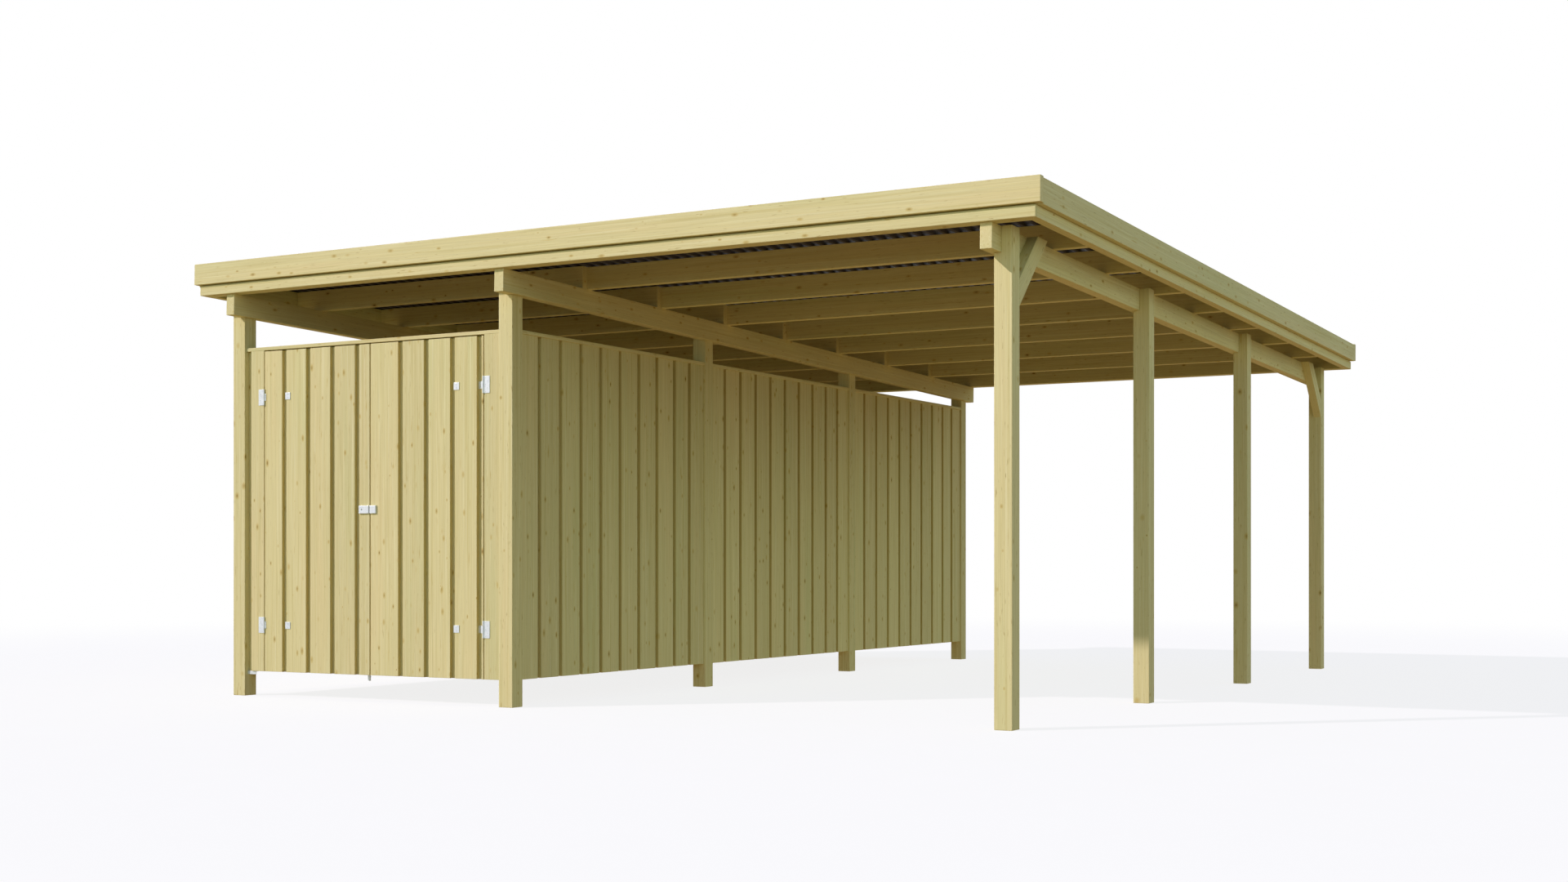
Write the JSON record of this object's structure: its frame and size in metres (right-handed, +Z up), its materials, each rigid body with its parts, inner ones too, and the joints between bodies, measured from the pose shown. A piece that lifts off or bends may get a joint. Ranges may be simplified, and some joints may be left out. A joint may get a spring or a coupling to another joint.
{
  "type": "timber carport with side shed",
  "caption": "Flat-roofed timber carport on square posts, with a board-clad shed along one side, a pair of hinged shed doors and a ribbed sheet roof behind fascia boards.",
  "frame": {"origin": "on the floor, under the middle of the roof", "axes": "+X to the right of someone facing the shed doors, +Y from the doors to the back, +Z up"},
  "size_m": [5.223, 6.2306, 2.4979],
  "materials": {
    "timber": "pressure-treated, planed",
    "roof_sheet": "matt",
    "hardware": "galvanised"
  },
  "bodies": {
    "carport": {"left_post_1": "timber", "left_post_2": "timber", "left_post_3": "timber", "left_post_4": "timber", "middle_post_1": "timber", "middle_post_2": "timber", "middle_post_3": "timber", "middle_post_4": "timber", "right_post_1": "timber", "right_post_2": "timber", "right_post_3": "timber", "right_post_4": "timber", "left_purlin": "timber", "middle_purlin": "timber", "right_purlin": "timber", "rafters": "timber", "front_rim": "timber", "back_rim": "timber", "left_rim": "timber", "right_rim": "timber", "front_fascia": "timber", "back_fascia": "timber", "left_fascia": "timber", "right_fascia": "timber", "roof_sheet": "roof_sheet", "front_brace": "timber", "back_brace": "timber", "left_wall": "timber", "middle_wall": "timber", "back_wall": "timber", "wall_rails": "timber", "wall_caps": "timber", "door_jambs": "timber", "door_header": "timber", "hinge_plates": "hardware", "foot_bracket": "hardware"},
    "left_leaf": {"left_door": "timber", "left_door_ledges": "timber", "left_door_straps": "hardware", "lock_case": "hardware", "floor_bolt": "hardware"},
    "right_leaf": {"right_door": "timber", "right_door_ledges": "timber", "right_door_straps": "hardware", "lock_keeper": "hardware"}
  },
  "joints": [
    {"name": "left_door_hinge", "type": "hinge", "parent": "carport", "child": "left_leaf", "pos_m": [-2.2155, -2.9625, 1.06], "axis": [0, 0, -1], "range_deg": [0, 120]},
    {"name": "right_door_hinge", "type": "hinge", "parent": "carport", "child": "right_leaf", "pos_m": [-0.6265, -2.9625, 1.06], "axis": [0, 0, 1], "range_deg": [0, 120]}
  ]
}
